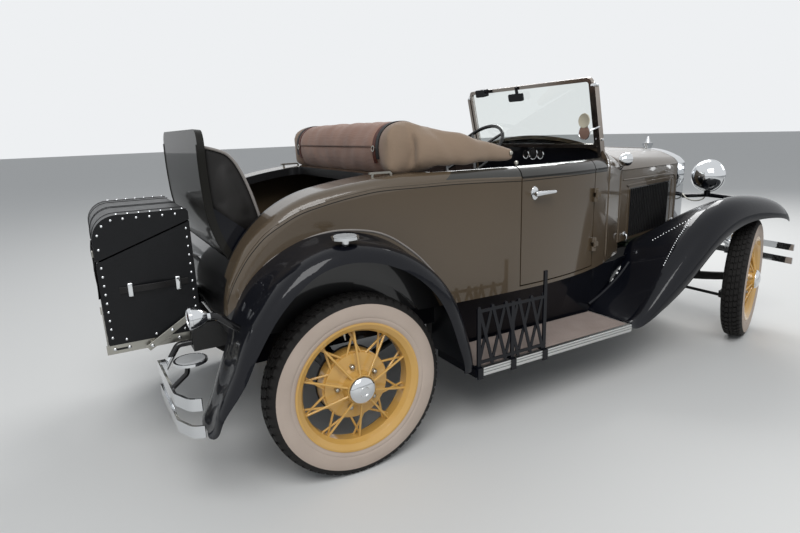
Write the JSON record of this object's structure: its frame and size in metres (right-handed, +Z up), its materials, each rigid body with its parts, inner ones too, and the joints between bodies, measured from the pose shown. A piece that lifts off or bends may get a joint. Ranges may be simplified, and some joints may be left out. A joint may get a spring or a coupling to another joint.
{
  "type": "vintage car",
  "caption": "Open two-seat roadster of about 1930 with an open rumble seat, wire wheels, side-opening hood and a trunk on its rear rack.",
  "frame": {"origin": "middle of the car's length and width, on the ground", "axes": "+X to the front of the car, +Y to its left, +Z up"},
  "size_m": [3.968, 1.7548, 1.5505],
  "materials": {
    "body_paint": "satin",
    "black_paint": "gloss",
    "wheel_paint": "gloss",
    "chassis_paint": "satin",
    "engine_paint": "satin",
    "chrome": "polished",
    "tyre": "matte",
    "seat_leather": "satin",
    "canvas": "matte",
    "trunk_cover": "satin",
    "glass": "polished",
    "core": "satin",
    "wheel_rim": "gloss",
    "floor": "matte"
  },
  "bodies": {
    "chassis": {"board_rack": "black_paint", "cowl": "body_paint", "cowl_lamps": "chrome", "engine": "engine_paint", "floor_pan": "floor", "frame_rails": "chassis_paint", "front_axle": "chassis_paint", "front_bumper": "chrome", "front_fenders": "black_paint", "front_seat": "seat_leather", "headlamp_bar": "chrome", "headlamp_lenses": "glass", "headlamp_shells": "chrome", "hood_hinge": "body_paint", "instrument_panel": "body_paint", "luggage_rack": "black_paint", "radiator_core": "core", "radiator_shell": "chrome", "rear_axle": "chassis_paint", "rear_body": "body_paint", "rear_bumpers": "chrome", "rear_fenders": "black_paint", "rumble_cushion": "seat_leather", "running_boards": "black_paint", "screen_fittings": "black_paint", "steering_column": "black_paint", "step_plates": "chrome", "tail_lamps": "chrome", "top_boot": "canvas", "top_rests": "chrome", "trunk": "trunk_cover", "windscreen_frame": "chrome", "windscreen_glass": "glass"},
    "wheel_rear_left": {"tyre_rear_left": "tyre", "wheel_rear_left": "wheel_paint"},
    "wheel_rear_right": {"tyre_rear_right": "tyre", "wheel_rear_right": "wheel_paint"},
    "wheel_front_left": {"tyre_front_left": "tyre", "wheel_front_left": "wheel_paint"},
    "wheel_front_right": {"tyre_front_right": "tyre", "wheel_front_right": "wheel_paint"},
    "knuckle_left": {"knuckle_left": "chassis_paint"},
    "knuckle_right": {"knuckle_right": "chassis_paint"},
    "tie_rod": {"tie_rod": "chassis_paint"},
    "steering_wheel": {"steering_wheel": "wheel_rim"},
    "door_left": {"door_left": "body_paint"},
    "door_right": {"door_right": "body_paint"},
    "hood_top_left": {"hood_top_left": "body_paint"},
    "hood_top_right": {"hood_top_right": "body_paint"},
    "hood_side_left": {"hood_side_left": "body_paint"},
    "hood_side_right": {"hood_side_right": "body_paint"},
    "rumble_lid": {"rumble_lid": "body_paint", "rumble_arms": "black_paint", "rumble_back": "seat_leather"},
    "trunk_lid": {"trunk_lid": "trunk_cover"}
  },
  "joints": [
    {"name": "spin_rear_left", "type": "hinge", "parent": "chassis", "child": "wheel_rear_left", "pos_m": [-1.166, 0.711, 0.364], "axis": [0, 1, 0], "continuous": true},
    {"name": "steer_left", "type": "hinge", "parent": "chassis", "child": "knuckle_left", "pos_m": [1.463, 0.631, 0.364], "axis": [0, 0, 1], "range_deg": [-51, 9]},
    {"name": "spin_front_left", "type": "hinge", "parent": "knuckle_left", "child": "wheel_front_left", "pos_m": [1.43453, 0.70576, 0.364], "axis": [-0.3559, 0.9345, 0], "continuous": true},
    {"name": "spin_rear_right", "type": "hinge", "parent": "chassis", "child": "wheel_rear_right", "pos_m": [-1.166, -0.711, 0.364], "axis": [0, 1, 0], "continuous": true},
    {"name": "steer_right", "type": "hinge", "parent": "chassis", "child": "knuckle_right", "pos_m": [1.463, -0.631, 0.364], "axis": [0, 0, 1], "range_deg": [-51, 9]},
    {"name": "spin_front_right", "type": "hinge", "parent": "knuckle_right", "child": "wheel_front_right", "pos_m": [1.49147, -0.70576, 0.364], "axis": [-0.3559, 0.9345, 0], "continuous": true},
    {"name": "tie_rod_swing", "type": "hinge", "parent": "knuckle_left", "child": "tie_rod", "pos_m": [1.32282, 0.57761, 0.275], "axis": [0, 0, 1], "range_deg": [-9, 51]},
    {"name": "steering_wheel_turn", "type": "hinge", "parent": "chassis", "child": "steering_wheel", "pos_m": [0.194, 0.31, 1.172], "axis": [-0.725, 0, 0.6887], "range_deg": [-663, 117]},
    {"name": "door_left_swing", "type": "hinge", "parent": "chassis", "child": "door_left", "pos_m": [0.237, 0.632, 0.85], "axis": [0, 0, -1], "range_deg": [0, 65]},
    {"name": "door_right_swing", "type": "hinge", "parent": "chassis", "child": "door_right", "pos_m": [0.237, -0.632, 0.85], "axis": [0, 0, 1], "range_deg": [0, 65]},
    {"name": "hood_top_left_lift", "type": "hinge", "parent": "chassis", "child": "hood_top_left", "pos_m": [0.6496, 0, 1.18863], "axis": [0.9981, 0, -0.0613], "range_deg": [0, 60]},
    {"name": "hood_side_left_fold", "type": "hinge", "parent": "hood_top_left", "child": "hood_side_left", "pos_m": [0.655, 0.43412, 1.06192], "axis": [0.9744, -0.2244, -0.0128], "range_deg": [-30, 0]},
    {"name": "hood_top_right_lift", "type": "hinge", "parent": "chassis", "child": "hood_top_right", "pos_m": [0.6496, 0, 1.18863], "axis": [-0.9981, 0, 0.0613], "range_deg": [0, 60]},
    {"name": "hood_side_right_fold", "type": "hinge", "parent": "hood_top_right", "child": "hood_side_right", "pos_m": [0.655, -0.43412, 1.06192], "axis": [-0.9744, -0.2244, 0.0128], "range_deg": [-30, 0]},
    {"name": "rumble_lid_close", "type": "hinge", "parent": "chassis", "child": "rumble_lid", "pos_m": [-1.3766, 0, 0.8645], "axis": [0, 1, 0], "range_deg": [0, 83]},
    {"name": "trunk_lid_lift", "type": "hinge", "parent": "chassis", "child": "trunk_lid", "pos_m": [-1.631, 0, 1.011], "axis": [0, 1, 0], "range_deg": [0, 55]}
  ],
  "couplings": [
    {"joint": "steer_right", "follows": "steer_left", "ratio": 1},
    {"joint": "tie_rod_swing", "follows": "steer_left", "ratio": -1},
    {"joint": "steering_wheel_turn", "follows": "steer_left", "ratio": 13},
    {"joint": "hood_side_left_fold", "follows": "hood_top_left_lift", "ratio": -0.5},
    {"joint": "hood_side_right_fold", "follows": "hood_top_right_lift", "ratio": -0.5}
  ]
}
